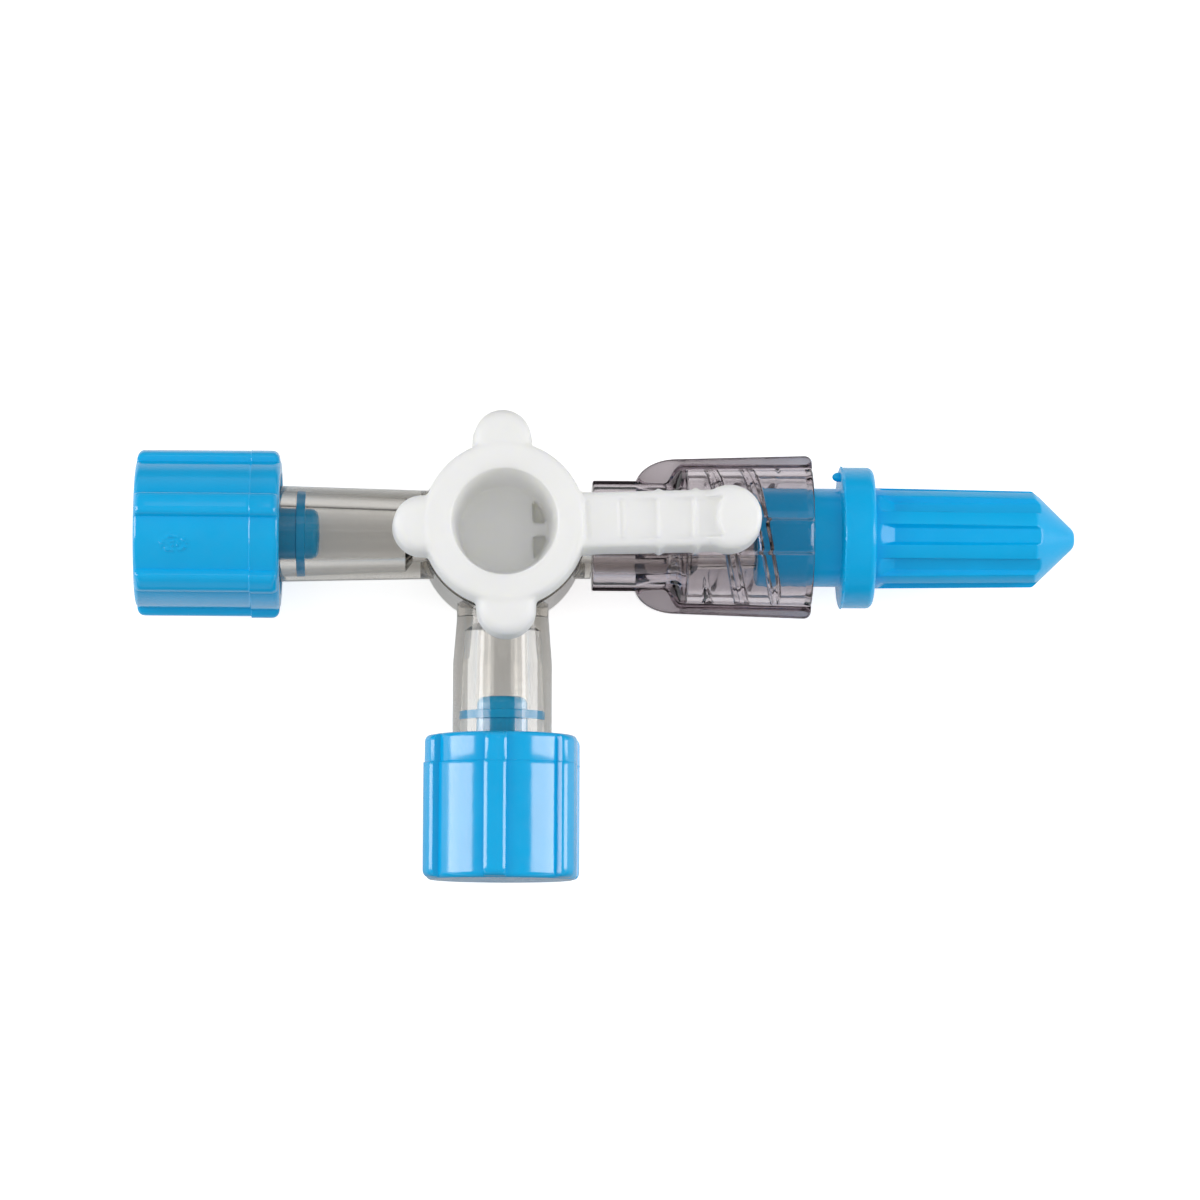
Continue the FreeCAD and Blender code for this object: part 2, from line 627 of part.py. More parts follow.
def make_cap(rim, turn):
    """Luer-lock cap: ribbed skirt, closed end and sealing stub. Its thread is left plain here."""
    mouth = rim + CAP_OVERLAP
    floor = mouth + CAP_END_CLEARANCE
    end = floor + CAP_END_WALL
    rib_end = end - CAP_RIB_END_MARGIN
    stub_tip = rim - CAP_STUB_PAST_RIM
    rib_limit = lathe([
        (0, rim),
        (CAP_CREST_R + CAP_STUB_GAP, rim, CAP_EDGE_ROUND),
        (CAP_CREST_R + CAP_STUB_GAP, rib_end, CAP_RIB_END_ROUND),
        (0, rib_end),
    ])
    core = lathe([
        (0, floor),
        (CAP_VALLEY_R, floor),
        (CAP_VALLEY_R, end, CAP_EDGE_ROUND),
        (0, end),
    ])
    shell = make_skirt(rim, rib_end).common(rib_limit).fuse(core)
    shell = shell.cut(cylinder(CAP_INNER_R, rim, floor))
    seal_end, seal_start = [rim - past for past in CAP_SEAL_PAST_RIM]
    stub = lathe([
        (0, stub_tip),
        (luer_r(mouth - stub_tip) - CAP_STUB_GAP, stub_tip, CAP_STUB_TIP_ROUND),
        (luer_r(mouth - seal_start) - CAP_STUB_GAP, seal_start),
        (luer_r(mouth - seal_start) - CAP_SEAL_GAP, seal_start),
        (luer_r(mouth - seal_end) - CAP_SEAL_GAP, seal_end),
        (luer_r(mouth - seal_end) - CAP_STUB_GAP, seal_end),
        (luer_r(0) - CAP_STUB_GAP, mouth),
        (luer_r(0) - CAP_STUB_GAP, floor + CAP_END_WALL / 2),
        (0, floor + CAP_END_WALL / 2),
    ])
    stub_core = cylinder(CAP_STUB_CORE_R, stub_tip, stub_tip + CAP_STUB_CORE_DEPTH)
    return turned(shell.fuse(stub).cut(stub_core), turn)


def main():
    """Build every piece and write it out."""
    os.makedirs("parts", exist_ok=True)
    pieces = {
        "valve_body": make_body(),
        "tap": make_tap(),
        "lock_collar": make_collar(),
        "guard_cap": make_guard(),
        "inlet_cap": on_arm(make_cap(INLET_RIM, INLET_CAP_TURN), "-X"),
        "side_cap": on_arm(make_cap(SIDE_RIM, SIDE_CAP_TURN), "-Y"),
    }
    for node, shape in pieces.items():
        clean = shape.removeSplitter()
        solid = clean.Solids[0]
        box = solid.BoundBox
        print(node, "solids", len(clean.Solids), "valid", solid.isValid(), "volume", round(solid.Volume, 2))
        print("  x", round(box.XMin, 2), round(box.XMax, 2), "y", round(box.YMin, 2), round(box.YMax, 2),
              "z", round(box.ZMin, 2), round(box.ZMax, 2))
        solid.exportStep("parts/" + node + ".step")


main()
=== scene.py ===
import math

import bmesh
import bpy
from mathutils import Matrix, Vector


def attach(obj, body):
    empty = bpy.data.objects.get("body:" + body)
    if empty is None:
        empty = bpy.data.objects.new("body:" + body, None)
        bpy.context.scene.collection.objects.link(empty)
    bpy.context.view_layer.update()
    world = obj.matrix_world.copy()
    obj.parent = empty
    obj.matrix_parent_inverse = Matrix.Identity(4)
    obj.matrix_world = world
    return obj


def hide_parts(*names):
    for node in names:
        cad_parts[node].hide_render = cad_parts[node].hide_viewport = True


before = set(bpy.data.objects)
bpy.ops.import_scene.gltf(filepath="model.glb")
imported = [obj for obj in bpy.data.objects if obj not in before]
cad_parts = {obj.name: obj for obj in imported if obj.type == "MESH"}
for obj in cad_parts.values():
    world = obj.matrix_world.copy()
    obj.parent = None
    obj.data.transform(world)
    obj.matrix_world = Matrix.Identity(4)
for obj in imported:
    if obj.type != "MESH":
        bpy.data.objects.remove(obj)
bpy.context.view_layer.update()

# Looks of the four-way stopcock. Lengths below are in millimetres unless a
# name says otherwise, and they are turned into metres when a mesh is made.
MM = 0.001
PORT_AXIS_Z = 6.0

# The photograph's camera
CAMERA_PLACE = (-3.5, -38.0, 366.0)
CAMERA_AIM = (6.7, -4.43, 6.0)
CAMERA_ROLL = -0.25
CAMERA_LENS = 157.3
SENSOR_WIDTH = 36.0
CAMERA_CLIP_M = (0.01, 10.0)

# Lamps: name, place, size along its long side, size across, power in watts
LAMPS = (
    ("soft_left", (-396.0, 30.0, 172.0), 340.0, 160.0, 0.80),
    ("soft_right", (396.0, 30.0, 172.0), 340.0, 160.0, 0.76),
    ("soft_back", (0.0, 242.0, 437.0), 130.0, 130.0, 0.02),
)

# Light of the surroundings on matt pieces, at the horizon and straight above
AMBIENT = (0.30, 0.88)

# Surroundings as gloss and clear pieces show them: white near the horizon,
# dark from a height up, and dark too towards the front and the back
HORIZON = (0.10, 0.40)
CEILING = 0.10
SIDES = (0.35, 0.75)
FRONT_AND_BACK = 0.40

# Ground: its glow to the camera, its glow to gloss and clear pieces, and
# where it falls away in front of the object and behind it
FLOOR_HALF_SIZE = 2000.0
FLOOR_COLOUR = (0.86, 0.86, 0.86, 1)
FLOOR_GLOW = 0.60
FLOOR_GLOW_IN_GLOSS = 0.12
SHEET_EDGE = (14.0, 38.0)
SHEET_PAST_EDGE = 0.12

# Noise of the plastics: the range that most of it lies in, and the feature
# sizes of the cloudy colour, the uneven gloss and the waviness
NOISE_RANGE = (0.3, 0.7)
CLOUD_SIZE = 2.6
GLOSS_SIZE = 0.9
WAVE_SIZE = 1.3

# Soft edges of the tap: grid size and rounds of smoothing
TAP_SOFTNESS = (0.12, 5)

# Lock collar with its thread
COLLAR_START = 6.13
COLLAR_FLOOR = 12.53
COLLAR_END = 21.23
COLLAR_BORE_R = 2.60
SLEEVE_R = 3.79
SHOULDER = (11.13, 12.23)
SHELL_R = (4.78, 4.95)
WING_START = 9.10
WING_RISE = 2.90
WING_ROOT_R = 3.49
WING_CREST_R = (5.34, 5.63)
WING_HALF = (1.29, 1.10)
WING_EDGE_ROUND = 0.26
WING_CORNER_ROUND = 0.50
WING_ANGLES = (95.0, 185.0, 275.0, 365.0)
COLLAR_EDGE_ROUND = 0.12
COLLAR_GAP_STEPS = 14
SLEEVE_STEP = 0.5
SHELL_STEP = 0.2
THREAD_ROOT_R = 4.02
THREAD_CREST_R = 3.52
THREAD_ENTRY_R = 4.20
THREAD_ENTRY_LENGTH = 0.50
THREAD_LEAD = 5.0
THREAD_PITCH = 2.5
THREAD_AT = (18.2, 118.6)
THREAD_CREST_HALF = 0.16
THREAD_FLANK = 0.34
THREAD_ENDS = (13.7, 14.5, 18.7, 19.1)
THREAD_STEP = 0.07
CAVITY_ROUND = 0.20

# Port caps: name, distance of the open rim from the tap axis, turn of the ribs
# and arm, then how much the band between rim and parting line stands out, and
# how far that band is shifted sideways
PORT_CAPS = (
    ("inlet_cap", 15.32, 16.0, "-X", 0.06, -0.045),
    ("side_cap", 13.84, 95.6, "-Y", -0.05, 0.05),
)
CAP_LENGTH = 9.93
CAP_END_WALL = 1.2
CAP_VALLEY_R = 5.17
CAP_CREST_R = 5.74
CAP_INNER_R = 4.06
CAP_RIB_PITCH = 60.0
CAP_RIB_HALF = 0.88
CAP_RIB_FULLNESS = 3.2
CAP_VALLEY_ROUND = 0.35
CAP_CREST_ROUND = 0.50
CAP_CREST_MARGIN = 0.08
CAP_PARTING = 2.0
CAP_PARTING_HALF = 0.03
CAP_PARTING_RIDGE = (0.035, 0.05)
CAP_MOUTH_CHAMFER = 0.15
CAP_GATE = {"inlet_cap": (7.13, -14.0)}
CAP_GATE_HALF = (1.05, 0.58)
CAP_GATE_PROUD = 0.13
CAP_GATE_END = 1.4
CAP_GATE_STEP = 0.07
CAP_OVERLAP = 8.38
MOUTH_BORE_R = 2.14
LUER_SLOPE = 0.03
CAP_STUB_GAP = 0.09
CAP_STUB_PAST_RIM = 2.63
CAP_STUB_ROUND = 0.55
CAP_SEAL_PAST_RIM = (1.68, 1.06)
CAP_SEAL_PROUD = 0.108
CAP_SEAL_FLANK = 0.04
CAP_SEAL_STEP = 0.02
CAP_CORE_R = 0.8
CAP_CORE_DEPTH = 8.0
CAP_CORE_CHAMFER = 0.1
CAP_STEPS_AROUND = 324

# Guard cap, along the male arm
GUARD_START = 17.43
GUARD_SLEEVE_R = 3.40
GUARD_MOUTH_ROUND = 0.25
FLANGE = (23.20, 25.50)
FLANGE_R = 4.87
FLANGE_FRONT_ROUND = 0.45
FLASH_EDGE = 0.16
FLASH_REACH = (0.10, 0.09)
FLASH_WAVES = ((7, 1.0, 0.6), (19, 0.8, 2.1), (43, 0.7, 4.0), (71, 0.6, 1.3))
GRIP_END = 36.60
GRIP_R = (3.49, 3.34)
GUARD_TIP = 39.50
GUARD_TIP_R = 0.55
GUARD_TIP_ROUND = 0.22
FLUTE_PITCH = 40.0
FLUTE_TURN = 1.4
FLUTE_FLOOR_R = 3.00
FLUTE_FLANK = (8.5, 15.0)
FLUTE_RUN_OUT = (25.62, 26.87)
FLUTE_RUN_OUT_FLARE = 3.2
FLUTE_RUN_OUT_RISE = 0.05
FLUTE_FLANK_TOP = 0.30
FLUTE_BLEND = 0.07
CONE_BLEND = 0.12
GUARD_BORE = ((GUARD_START, 2.357), (17.83, 2.195), (23.33, 2.03), (24.03, 2.03), (24.03, 1.5), (34.03, 1.5))

# Gate nub on the flange's rear face: place, radius and stretch along the arm
GUARD_NUB_PLACE = (23.12, 4.12, 6.9)
GUARD_NUB_R = 0.33
GUARD_NUB_STRETCH = 1.35
GUARD_STEPS_AROUND = 400


def srgb(red, green, blue):
    """Linear colour from the usual 0 to 255 values."""
    linear = []
    for value in (red, green, blue):
        share = value / 255
        linear.append(share / 12.92 if share <= 0.04045 else ((share + 0.055) / 1.055) ** 2.4)
    return (*linear, 1.0)


def look_from(place, aim, roll_degrees=0.0):
    """Matrix of a camera or lamp at a place that looks at an aim, image up near +Y."""
    back = (Vector(place) - Vector(aim)).normalized()
    roll = math.radians(roll_degrees)
    up_hint = Vector((math.sin(roll), math.cos(roll), 0))
    right = up_hint.cross(back).normalized()
    up = back.cross(right)
    turn = Matrix((right, up, back)).transposed().to_4x4()
    return Matrix.Translation(Vector(place) * MM) @ turn


def make_camera():
    """The photograph's camera."""
    data = bpy.data.cameras.new("photo_view")
    data.sensor_width = SENSOR_WIDTH
    data.lens = CAMERA_LENS
    data.clip_start, data.clip_end = CAMERA_CLIP_M
    camera = bpy.data.objects.new("photo_view", data)
    camera.matrix_world = look_from(CAMERA_PLACE, CAMERA_AIM, CAMERA_ROLL)
    bpy.context.scene.collection.objects.link(camera)
    bpy.context.scene.camera = camera


def make_lamps():
    """Soft boxes at the left, the right and behind."""
    for name, place, length, width, power in LAMPS:
        data = bpy.data.lights.new(name, "AREA")
        data.shape = "RECTANGLE"
        data.size = length * MM
        data.size_y = width * MM
        data.energy = power
        lamp = bpy.data.objects.new(name, data)
        lamp.matrix_world = look_from(place, (0, 0, PORT_AXIS_Z))
        lamp.visible_camera = False
        bpy.context.scene.collection.objects.link(lamp)


class Nodes:
    """Small helper that adds nodes and links to one node tree."""

    def __init__(self, tree):
        self.tree = tree
        tree.nodes.clear()

    def add(self, kind, **settings):
        node = self.tree.nodes.new(kind)
        for key, value in settings.items():
            setattr(node, key, value)
        return node

    def put(self, node, socket, value):
        """Set a socket to a number or colour, or link it to another node's output."""
        target = node.inputs[socket]
        if isinstance(value, bpy.types.NodeSocket):
            self.tree.links.new(value, target)
        else:
            target.default_value = value


def background_ray(nodes):
    """1 for a ray from the camera, a gloss or a clear piece, 0 once a matt piece has sent it on."""
    path = nodes.add("ShaderNodeLightPath")
    total = None
    for ray in ("Is Camera Ray", "Is Glossy Ray", "Is Transmission Ray"):
        if total is None:
            total = path.outputs[ray]
            continue
        either = nodes.add("ShaderNodeMath", operation="MAXIMUM")
        nodes.put(either, 0, total)
        nodes.put(either, 1, path.outputs[ray])
        total = either.outputs[0]
    direct = nodes.add("ShaderNodeMath", operation="LESS_THAN")
    nodes.put(direct, 0, path.outputs["Diffuse Depth"])
    nodes.put(direct, 1, 0.5)
    both = nodes.add("ShaderNodeMath", operation="MULTIPLY")
    nodes.put(both, 0, total)
    nodes.put(both, 1, direct.outputs[0])
    return both.outputs[0]


def spread(nodes, value, low, high, source=NOISE_RANGE):
    """The value moved from its source range to low and high."""
    mapped = nodes.add("ShaderNodeMapRange")
    nodes.put(mapped, "Value", value)
    nodes.put(mapped, "From Min", source[0])
    nodes.put(mapped, "From Max", source[1])
    nodes.put(mapped, "To Min", low)
    nodes.put(mapped, "To Max", high)
    return mapped.outputs[0]


def make_world():
    """Pale surroundings that light the object from all around."""
    world = bpy.data.worlds.new("pale_studio")
    world.use_nodes = True
    nodes = Nodes(world.node_tree)
    direction = nodes.add("ShaderNodeSeparateXYZ")
    nodes.put(direction, 0, nodes.add("ShaderNodeTexCoord").outputs["Generated"])
    sideways = nodes.add("ShaderNodeMath", operation="ABSOLUTE")
    nodes.put(sideways, 0, direction.outputs["X"])
    sides = spread(nodes, sideways.outputs[0], FRONT_AND_BACK, 1.0, SIDES)
    near_horizon = spread(nodes, direction.outputs["Z"], sides, CEILING, HORIZON)
    seen_strength = nodes.add("ShaderNodeMath", operation="MAXIMUM")
    nodes.put(seen_strength, 0, near_horizon)
    nodes.put(seen_strength, 1, nodes.add("ShaderNodeLightPath").outputs["Is Camera Ray"])
    seen = nodes.add("ShaderNodeBackground")
    nodes.put(seen, "Color", (1, 1, 1, 1))
    nodes.put(seen, "Strength", seen_strength.outputs[0])
    lit = nodes.add("ShaderNodeBackground")
    nodes.put(lit, "Color", (1, 1, 1, 1))
    nodes.put(lit, "Strength", spread(nodes, direction.outputs["Z"], *AMBIENT, (0.0, 1.0)))
    mix = nodes.add("ShaderNodeMixShader")
    nodes.put(mix, 0, background_ray(nodes))
    nodes.put(mix, 1, lit.outputs[0])
    nodes.put(mix, 2, seen.outputs[0])
    out = nodes.add("ShaderNodeOutputWorld")
    nodes.put(out, "Surface", mix.outputs[0])
    bpy.context.scene.world = world


def make_floor():
    """White ground that the object lies on. It keeps the object's shadow."""
    half = FLOOR_HALF_SIZE * MM
    mesh = bpy.data.meshes.new("ground")
    corners = [(-half, -half, 0), (half, -half, 0), (half, half, 0), (-half, half, 0)]
    mesh.from_pydata(corners, [], [(0, 1, 2, 3)])
    floor = bpy.data.objects.new("ground", mesh)
    bpy.context.scene.collection.objects.link(floor)
    material = bpy.data.materials.new("white_ground")
    material.use_nodes = True
    nodes = Nodes(material.node_tree)
    place = nodes.add("ShaderNodeSeparateXYZ")
    nodes.put(place, 0, nodes.add("ShaderNodeTexCoord").outputs["Object"])
    off = nodes.add("ShaderNodeMath", operation="ABSOLUTE")
    nodes.put(off, 0, place.outputs["Y"])
    edge = [distance * MM for distance in SHEET_EDGE]
    sheet = spread(nodes, off.outputs[0], 1.0, SHEET_PAST_EDGE, edge)
    camera_ray = nodes.add("ShaderNodeLightPath").outputs["Is Camera Ray"]
    pale = nodes.add("ShaderNodeMath", operation="MAXIMUM")
    nodes.put(pale, 0, sheet)
    nodes.put(pale, 1, camera_ray)
    colour = nodes.add("ShaderNodeMix", data_type="RGBA")
    nodes.put(colour, 0, pale.outputs[0])
    nodes.put(colour, 6, (0, 0, 0, 1))
    nodes.put(colour, 7, FLOOR_COLOUR)
    matte = nodes.add("ShaderNodeBsdfDiffuse")
    nodes.put(matte, "Color", colour.outputs[2])
    glow = nodes.add("ShaderNodeEmission")
    nodes.put(glow, "Color", (1, 1, 1, 1))
    shown = nodes.add("ShaderNodeMath", operation="MULTIPLY")
    nodes.put(shown, 0, background_ray(nodes))
    nodes.put(shown, 1, pale.outputs[0])
    strength = nodes.add("ShaderNodeMath", operation="MULTIPLY")
    nodes.put(strength, 0, shown.outputs[0])
    nodes.put(strength, 1, spread(nodes, camera_ray, FLOOR_GLOW_IN_GLOSS, FLOOR_GLOW, (0.0, 1.0)))
    nodes.put(glow, "Strength", strength.outputs[0])
    both = nodes.add("ShaderNodeAddShader")
    nodes.put(both, 0, matte.outputs[0])
    nodes.put(both, 1, glow.outputs[0])
    out = nodes.add("ShaderNodeOutputMaterial")
    nodes.put(out, "Surface", both.outputs[0])
    mesh.materials.append(material)


def noise(nodes, place, size_mm, detail=2.0):
    """Noise of a feature size, from 0 to 1."""
    texture = nodes.add("ShaderNodeTexNoise")
    nodes.put(texture, "Vector", place)
    nodes.put(texture, "Scale", 1 / (size_mm * MM))
    nodes.put(texture, "Detail", detail)
    return texture.outputs["Fac"]


def plastic(name, shade, other_shade, roughness, bump_mm, sockets, clear=None):
    """Moulded plastic: cloudy colour, uneven gloss and a fine waviness.

    Clear plastic has the share of light that each of its surfaces lets through
    onto other pieces, then the colour and the density of its own tint.
    """
    material = bpy.data.materials.new(name)
    material.use_nodes = True
    nodes = Nodes(material.node_tree)
    place = nodes.add("ShaderNodeTexCoord").outputs["Object"]
    mix = nodes.add("ShaderNodeMix", data_type="RGBA")
    nodes.put(mix, 0, spread(nodes, noise(nodes, place, CLOUD_SIZE), 0, 1))
    nodes.put(mix, 6, shade)
    nodes.put(mix, 7, other_shade)
    shader = nodes.add("ShaderNodeBsdfPrincipled")
    nodes.put(shader, "Base Color", mix.outputs[2])
    nodes.put(shader, "Roughness", spread(nodes, noise(nodes, place, GLOSS_SIZE), *roughness))
    bump = nodes.add("ShaderNodeBump")
    nodes.put(bump, "Strength", 1.0)
    nodes.put(bump, "Distance", bump_mm * MM)
    nodes.put(bump, "Height", noise(nodes, place, WAVE_SIZE, 3.0))
    nodes.put(shader, "Normal", bump.outputs[0])
    for socket, value in sockets.items():
        nodes.put(shader, socket, value)
    out = nodes.add("ShaderNodeOutputMaterial")
    nodes.put(out, "Surface", shader.outputs[0])
    if clear is not None:
        shine_through, tint, density = clear
        lit_through = nodes.add("ShaderNodeBsdfTransparent")
        nodes.put(lit_through, "Color", shine_through)
        path = nodes.add("ShaderNodeLightPath")
        lights_others = nodes.add("ShaderNodeMath", operation="MAXIMUM")
        nodes.put(lights_others, 0, path.outputs["Is Shadow Ray"])
        nodes.put(lights_others, 1, path.outputs["Is Diffuse Ray"])
        mix_lit = nodes.add("ShaderNodeMixShader")
        nodes.put(mix_lit, 0, lights_others.outputs[0])
        nodes.put(mix_lit, 1, shader.outputs[0])
        nodes.put(mix_lit, 2, lit_through.outputs[0])
        nodes.put(out, "Surface", mix_lit.outputs[0])
        absorb = nodes.add("ShaderNodeVolumeAbsorption")
        nodes.put(absorb, "Color", tint)
        nodes.put(absorb, "Density", density)
        nodes.put(out, "Volume", absorb.outputs[0])
    return material


def smooth_step(value, start, end):
    """0 before start, 1 after end, with a soft turn between them."""
    share = min(1.0, max(0.0, (value - start) / (end - start)))
    return share * share * (3 - 2 * share)


def round_in(gap, radius):
    """How far a rounded edge has pulled in, at a gap from the end face."""
    if gap >= radius:
        return 0.0
    return radius - math.sqrt(radius * radius - (radius - gap) ** 2)


def steps_between(start, end, size):
    """Places from start to end, evenly spaced and no further apart than a size."""
    count = max(1, math.ceil(abs(end - start) / size))
    return [start + (end - start) * i / count for i in range(count + 1)]


def tube_mesh(name, rings, sharp_degrees=35.0, joined=True):
    """Closed skin over rings that have as many points each.

    The last ring is joined to the first, or else both get an end face.
    """
    count = len(rings[0])
    points = [Vector(point) * MM for ring in rings for point in ring]
    faces = []
    if not joined:
        faces.append(list(range(count)))
        faces.append(list(range(len(points) - count, len(points))))
    for i in range(len(rings) if joined else len(rings) - 1):
        here = i * count
        there = ((i + 1) % len(rings)) * count
        for j in range(count):
            k = (j + 1) % count
            faces.append((here + j, there + j, there + k, here + k))
    mesh = bpy.data.meshes.new(name)
    mesh.from_pydata(points, [], faces)
    mesh.validate()
    shape = bmesh.new()
    shape.from_mesh(mesh)
    bmesh.ops.recalc_face_normals(shape, faces=shape.faces)
    shape.to_mesh(mesh)
    shape.free()
    for face in mesh.polygons:
        face.use_smooth = True
    mesh.set_sharp_from_angle(angle=math.radians(sharp_degrees))
    piece = bpy.data.objects.new(name, mesh)
    bpy.context.scene.collection.objects.link(piece)
    return piece


def along_x(x, radius, degrees):
    """Point around the male arm. The angle runs from +Y towards +Z."""
    angle = math.radians(degrees)
    return (x, radius * math.cos(angle), PORT_AXIS_Z + radius * math.sin(angle))


def shell_radius(x):
    """Outer radius of the lock collar between its wings."""
    rise = smooth_step(x, *SHOULDER)
    flare = (x - SHOULDER[1]) / (COLLAR_END - SHOULDER[1])
    wide = SHELL_R[0] + (SHELL_R[1] - SHELL_R[0]) * max(0.0, flare)
    return SLEEVE_R + (wide - SLEEVE_R) * rise


def wing_radius(x):
    """Outer radius of a wing, 0 where there is none."""
    along = x - WING_START
    if along <= 0:
        return 0.0
    if along < WING_RISE:
        share = 1 - along / WING_RISE
        return WING_ROOT_R + (WING_CREST_R[0] - WING_ROOT_R) * math.sqrt(max(0.0, 1 - share * share))
    flare = (along - WING_RISE) / (COLLAR_END - WING_START - WING_RISE)
    crest = WING_CREST_R[0] + (WING_CREST_R[1] - WING_CREST_R[0]) * flare
    return crest - round_in(COLLAR_END - x, WING_CORNER_ROUND)


def collar_section(x):
    """Outer outline of the lock collar at one place: shell arcs and four wings."""
    low = shell_radius(x) - round_in(min(COLLAR_END - x, x - COLLAR_START), COLLAR_EDGE_ROUND)
    high = max(low + 0.002, wing_radius(x))
    edge = min(WING_EDGE_ROUND, (high - low) / 2)
    outline = []
    foot, crest = WING_HALF
    half = [(low, foot), (low + (high - edge - low) / 2, (foot + crest) / 2)]
    for step in range(4):
        angle = math.radians(30 * step)
        half.append((high - edge + edge * math.sin(angle), crest - edge + edge * math.cos(angle)))
    half.append((high, (crest - edge) / 2))
    crossing = [(r, -w) for r, w in half] + [(high, 0.0)] + [(r, w) for r, w in reversed(half)]
    for centre in WING_ANGLES:
        for height, side in crossing:
            radius = math.hypot(height, side) if height > low else low
            lean = math.degrees(math.asin(side / radius))
            outline.append(along_x(x, radius, centre + lean))
        lean = math.degrees(math.asin(foot / low))
        gap_start = centre + lean
        gap_end = centre + 90 - lean
        for step in range(1, COLLAR_GAP_STEPS):
            turn = gap_start + (gap_end - gap_start) * step / COLLAR_GAP_STEPS
            outline.append(along_x(x, low, turn))
    return outline


def thread_radius(x, degrees):
    """Inner radius of the lock collar's cavity, with its two-start thread."""
    centre = THREAD_AT[0] + THREAD_LEAD * (degrees - THREAD_AT[1]) / 360
    offset = (x - centre + THREAD_PITCH / 2) % THREAD_PITCH - THREAD_PITCH / 2
    ridge = 1 - smooth_step(abs(offset), THREAD_CREST_HALF, THREAD_CREST_HALF + THREAD_FLANK)
    ends = smooth_step(x, *THREAD_ENDS[:2]) * (1 - smooth_step(x, *THREAD_ENDS[2:]))
    radius = THREAD_ROOT_R - (THREAD_ROOT_R - THREAD_CREST_R) * ridge * ends
    radius -= round_in(x - COLLAR_FLOOR, CAVITY_ROUND)
    entry = 1 - (COLLAR_END - x) / THREAD_ENTRY_LENGTH
    return radius + (THREAD_ENTRY_R - THREAD_ROOT_R) * max(0.0, entry)


def make_collar(material):
    """Clear lock collar: sleeve, shell, four grip wings and the inner thread."""
    edge = COLLAR_EDGE_ROUND
    places = [COLLAR_START + edge * share for share in (0, 0.1, 0.35, 0.65)]
    places += steps_between(COLLAR_START + edge, WING_START, SLEEVE_STEP)
    places += [WING_START + WING_RISE * (1 - math.cos(math.radians(4.5 * step))) for step in range(1, 20)]
    corner = WING_CORNER_ROUND
    places += steps_between(WING_START + WING_RISE, COLLAR_END - corner, SHELL_STEP)
    places += [COLLAR_END - corner * share for share in (0.8, 0.6, 0.4, 0.24, 0.15, 0.08, 0.03, 0)]
    rings = [collar_section(x) for x in places]
    count = len(rings[0])
    first = WING_ANGLES[0] - math.degrees(math.asin(WING_HALF[0] / SLEEVE_R))
    turns = [first + 360 * i / count for i in range(count)]
    inner = steps_between(COLLAR_END, COLLAR_FLOOR + CAVITY_ROUND, THREAD_STEP)
    inner += [COLLAR_FLOOR + CAVITY_ROUND * share for share in (0.7, 0.45, 0.25, 0.1, 0.0)]
    rings += [[along_x(x, thread_radius(x, turn), turn) for turn in turns] for x in inner]
    for x in (COLLAR_FLOOR, COLLAR_START):
        rings.append([along_x(x, COLLAR_BORE_R, turn) for turn in turns])
    collar = tube_mesh("collar_with_thread", rings)
    collar.data.materials.append(material)
    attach(collar, "collar")
    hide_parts("lock_collar")


def on_port(arm, along, radius, degrees):
    """Point of a port cap: distance from the tap axis along its arm, radius and angle."""
    angle = math.radians(degrees)
    if arm == "-X":
        return (-along, radius * math.sin(angle), PORT_AXIS_Z + radius * math.cos(angle))
    return (radius * math.cos(angle), -along, PORT_AXIS_Z + radius * math.sin(angle))


def rib_rise(degrees, turn):
    """Share of a grip rib's height at an angle around a port cap."""
    off = (degrees - turn + CAP_RIB_PITCH / 2) % CAP_RIB_PITCH - CAP_RIB_PITCH / 2
    across = min(1.0, abs(math.radians(off)) * CAP_CREST_R / CAP_RIB_HALF)
    return (1 - across ** CAP_RIB_FULLNESS) ** (1 / CAP_RIB_FULLNESS)


def gate_height(past_rim, degrees, gate):
    """Height of the rough mark that the moulding gate has left: a ring around a dot."""
    along = (past_rim - gate[0]) / CAP_GATE_HALF[0]
    off = (degrees - gate[1] + 180) % 360 - 180
    across = math.radians(off) * CAP_VALLEY_R / CAP_GATE_HALF[1]
    reach = math.hypot(along, across)
    if reach > CAP_GATE_END:
        return 0.0
    turn = math.atan2(across, along)
    rough = 0.6 + 0.4 * math.sin(5 * turn + 1.0) + 0.3 * math.sin(11 * turn + 7 * reach)
    rim = math.exp(-((reach - 0.8) / 0.16) ** 2)
    middle = 0.7 * math.exp(-((reach - 0.3) / 0.12) ** 2)
    return CAP_GATE_PROUD * max(0.0, rough) * (rim + middle)


def before_parting(past_rim):
    """1 between a port cap's rim and its parting line, 0 past that line."""
    return 1 - smooth_step(past_rim, CAP_PARTING - CAP_PARTING_HALF, CAP_PARTING + CAP_PARTING_HALF)


def skirt_radius(gap, past_rim, rise, growth):
    """Outer radius of a port cap, at a gap from its nearer end and a share of rib height."""
    valley = CAP_VALLEY_R - round_in(gap, CAP_VALLEY_ROUND)
    crest = valley
    if gap > CAP_CREST_MARGIN:
        crest = max(valley, CAP_CREST_R - round_in(gap - CAP_CREST_MARGIN, CAP_CREST_ROUND))
    height, half = CAP_PARTING_RIDGE
    ridge = height * max(0.0, 1 - abs(past_rim - CAP_PARTING) / half)
    return valley + (crest - valley) * rise + growth * before_parting(past_rim) + ridge


